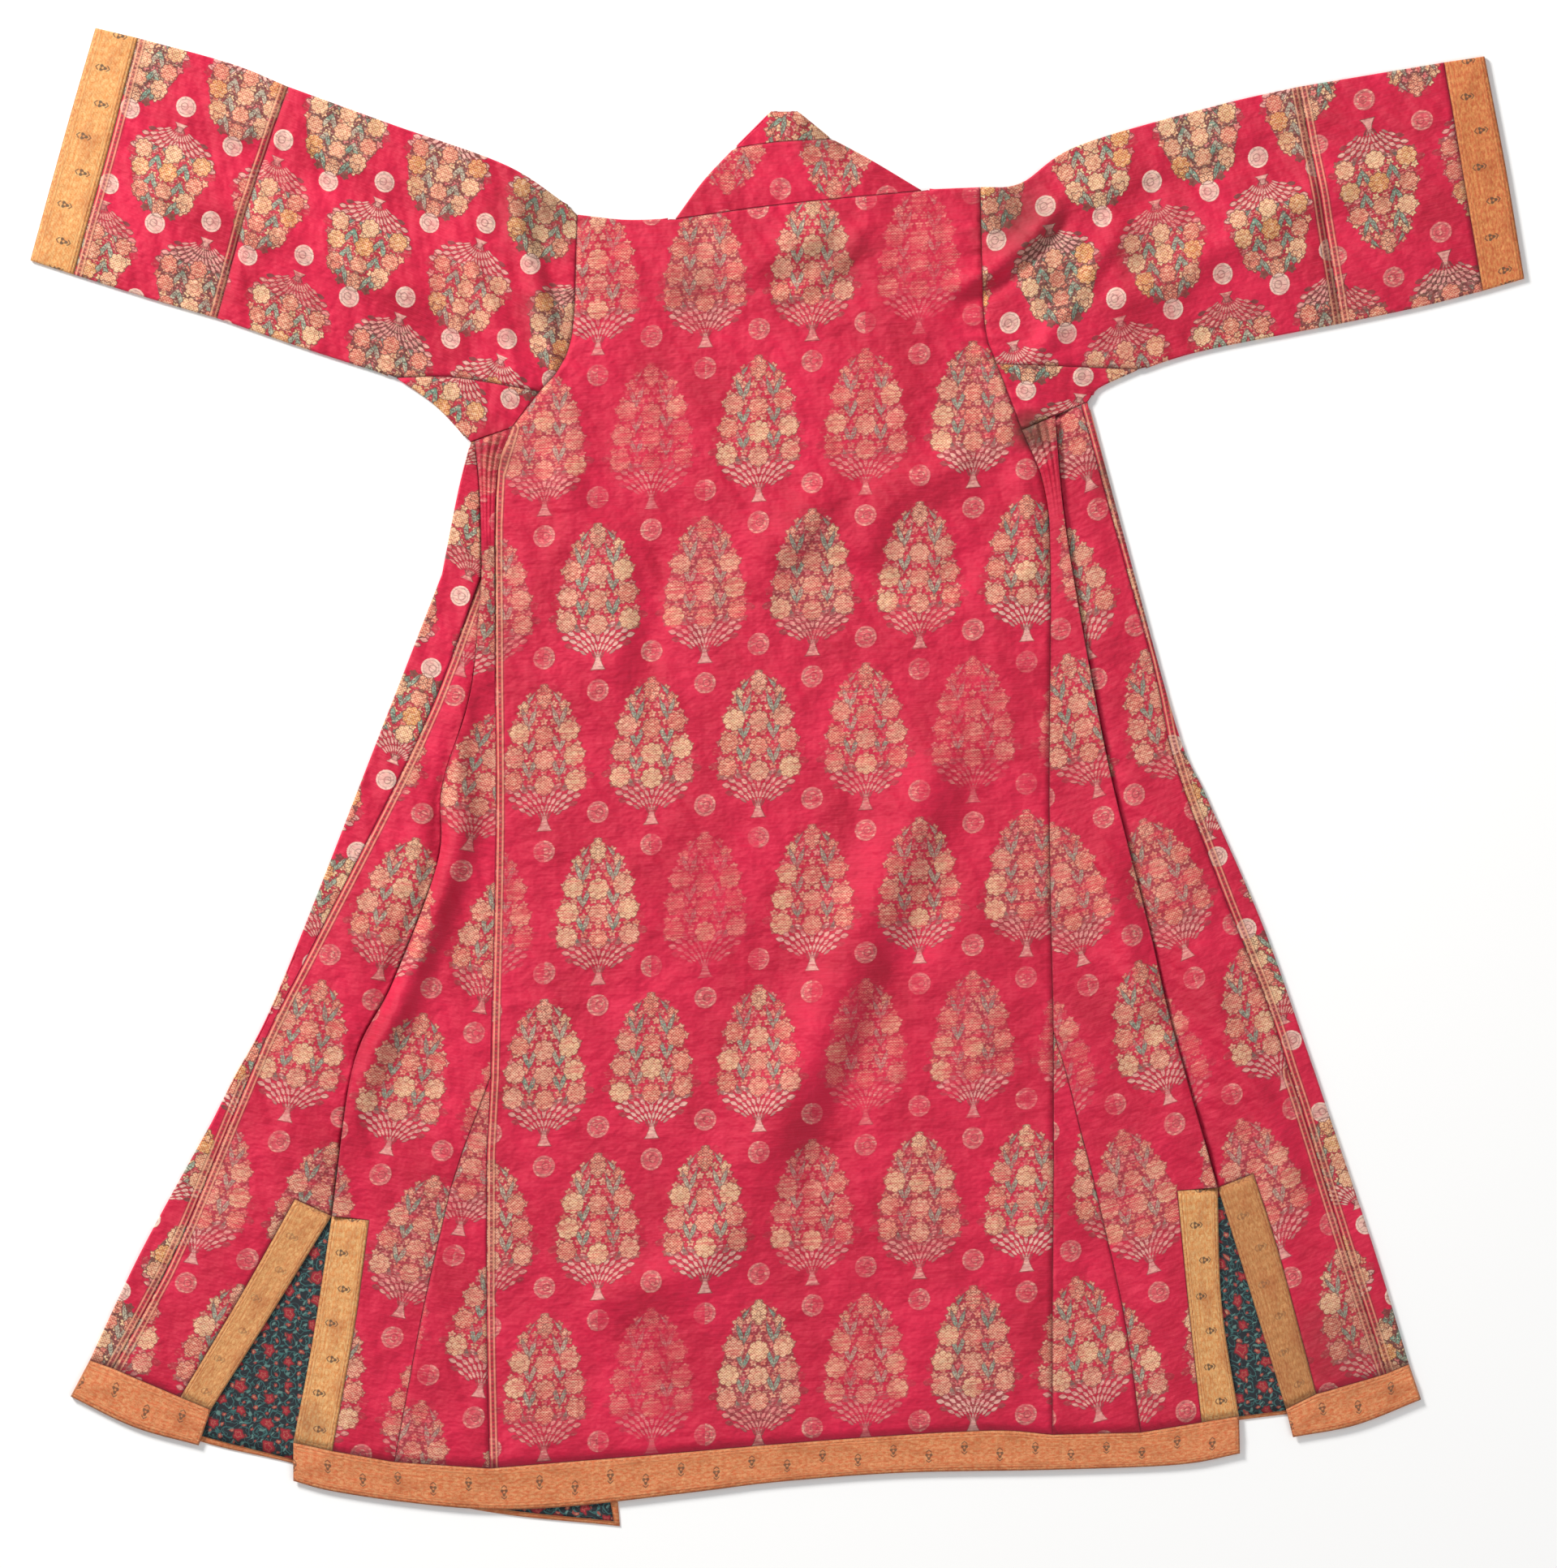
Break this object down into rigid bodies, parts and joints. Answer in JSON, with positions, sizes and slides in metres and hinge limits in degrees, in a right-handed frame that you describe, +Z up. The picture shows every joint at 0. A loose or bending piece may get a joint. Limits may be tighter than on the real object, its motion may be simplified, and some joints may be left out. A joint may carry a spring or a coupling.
{
  "type": "silk coat laid flat",
  "caption": "Long flared silk brocade coat laid face down, sleeves spread, with contrast cuff, hem and slit bands and a printed lining in its side slits.",
  "frame": {"origin": "centre of the coat's bounding box, on the surface that it lies on", "axes": "+Z up off the surface, +Y from the hem towards the shoulders, +X to the right as seen from above"},
  "size_m": [1.4722, 1.4765, 0.0127],
  "materials": {
    "brocade": "satin",
    "band_silk": "satin",
    "lining": "matte"
  },
  "bodies": {
    "root": {"back_center": "brocade", "side_back_left": "brocade", "side_back_right": "brocade", "side_front_left": "brocade", "side_front_right": "brocade", "gore_left": "brocade", "gore_right": "brocade", "front_left": "brocade", "front_right": "brocade", "gusset_left": "brocade", "gusset_right": "brocade", "sleeve_upper_left": "brocade", "sleeve_upper_right": "brocade", "sleeve_lower_left": "brocade", "sleeve_lower_right": "brocade", "collar": "brocade", "collar_band": "brocade", "cuff_band_left": "band_silk", "cuff_band_right": "band_silk", "front_band_left": "band_silk", "front_band_right": "band_silk", "hem_band_back": "band_silk", "hem_band_front_left": "band_silk", "hem_band_front_right": "band_silk", "slit_band_outer_left": "band_silk", "slit_band_inner_left": "band_silk", "slit_band_inner_right": "band_silk", "slit_band_outer_right": "band_silk", "lining_front_left": "lining", "lining_front_right": "lining"}
  },
  "joints": []
}
